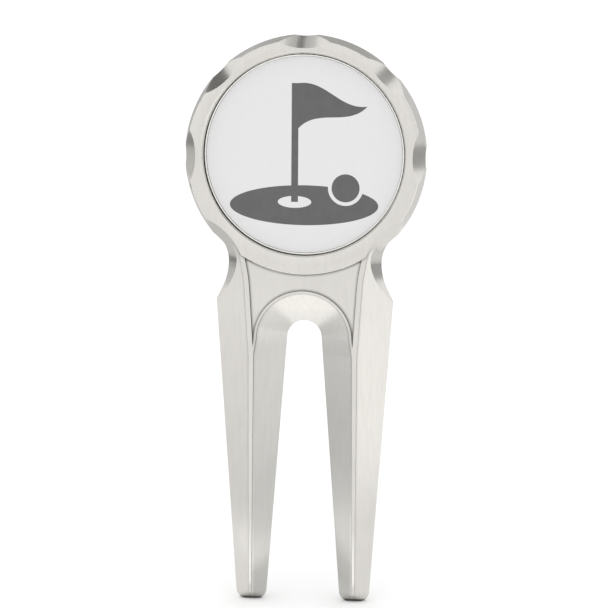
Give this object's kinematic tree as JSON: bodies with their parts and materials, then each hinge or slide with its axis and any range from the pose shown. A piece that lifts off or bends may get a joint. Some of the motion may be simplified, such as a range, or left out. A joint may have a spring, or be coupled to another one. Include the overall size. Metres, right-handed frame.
{
  "type": "divot repair tool",
  "caption": "Forked divot repair tool whose round scalloped head holds a lift-off ball marker in a magnetic seat.",
  "frame": {"origin": "midway between the two prong tips, at their lowest level, on the casting's parting plane", "axes": "+Z along the tool from the prong tips to the head, -Y out of the front face that holds the marker, +X to the right seen from the front"},
  "size_m": [0.0302, 0.0056, 0.0719],
  "materials": {
    "satin_nickel": "satin nickel plate on a zinc casting",
    "magnet_nickel": "bright nickel plate",
    "epoxy": "cured epoxy",
    "coin_nickel": "polished nickel on steel",
    "adhesive_film": "double-sided film",
    "plate_grey": "pale grey satin coat",
    "enamel_dark": "dark grey satin enamel"
  },
  "bodies": {
    "tool": {"tool_body": "satin_nickel", "seat_magnet": "magnet_nickel", "magnet_glue": "epoxy"},
    "marker": {"marker_coin": "coin_nickel", "marker_film": "adhesive_film", "marker_plate": "plate_grey", "marker_infill": "enamel_dark"}
  },
  "joints": [
    {"name": "marker_lift", "type": "slide", "parent": "tool", "child": "marker", "axis": [0, -1, 0], "range_m": [0, 0.012]}
  ]
}
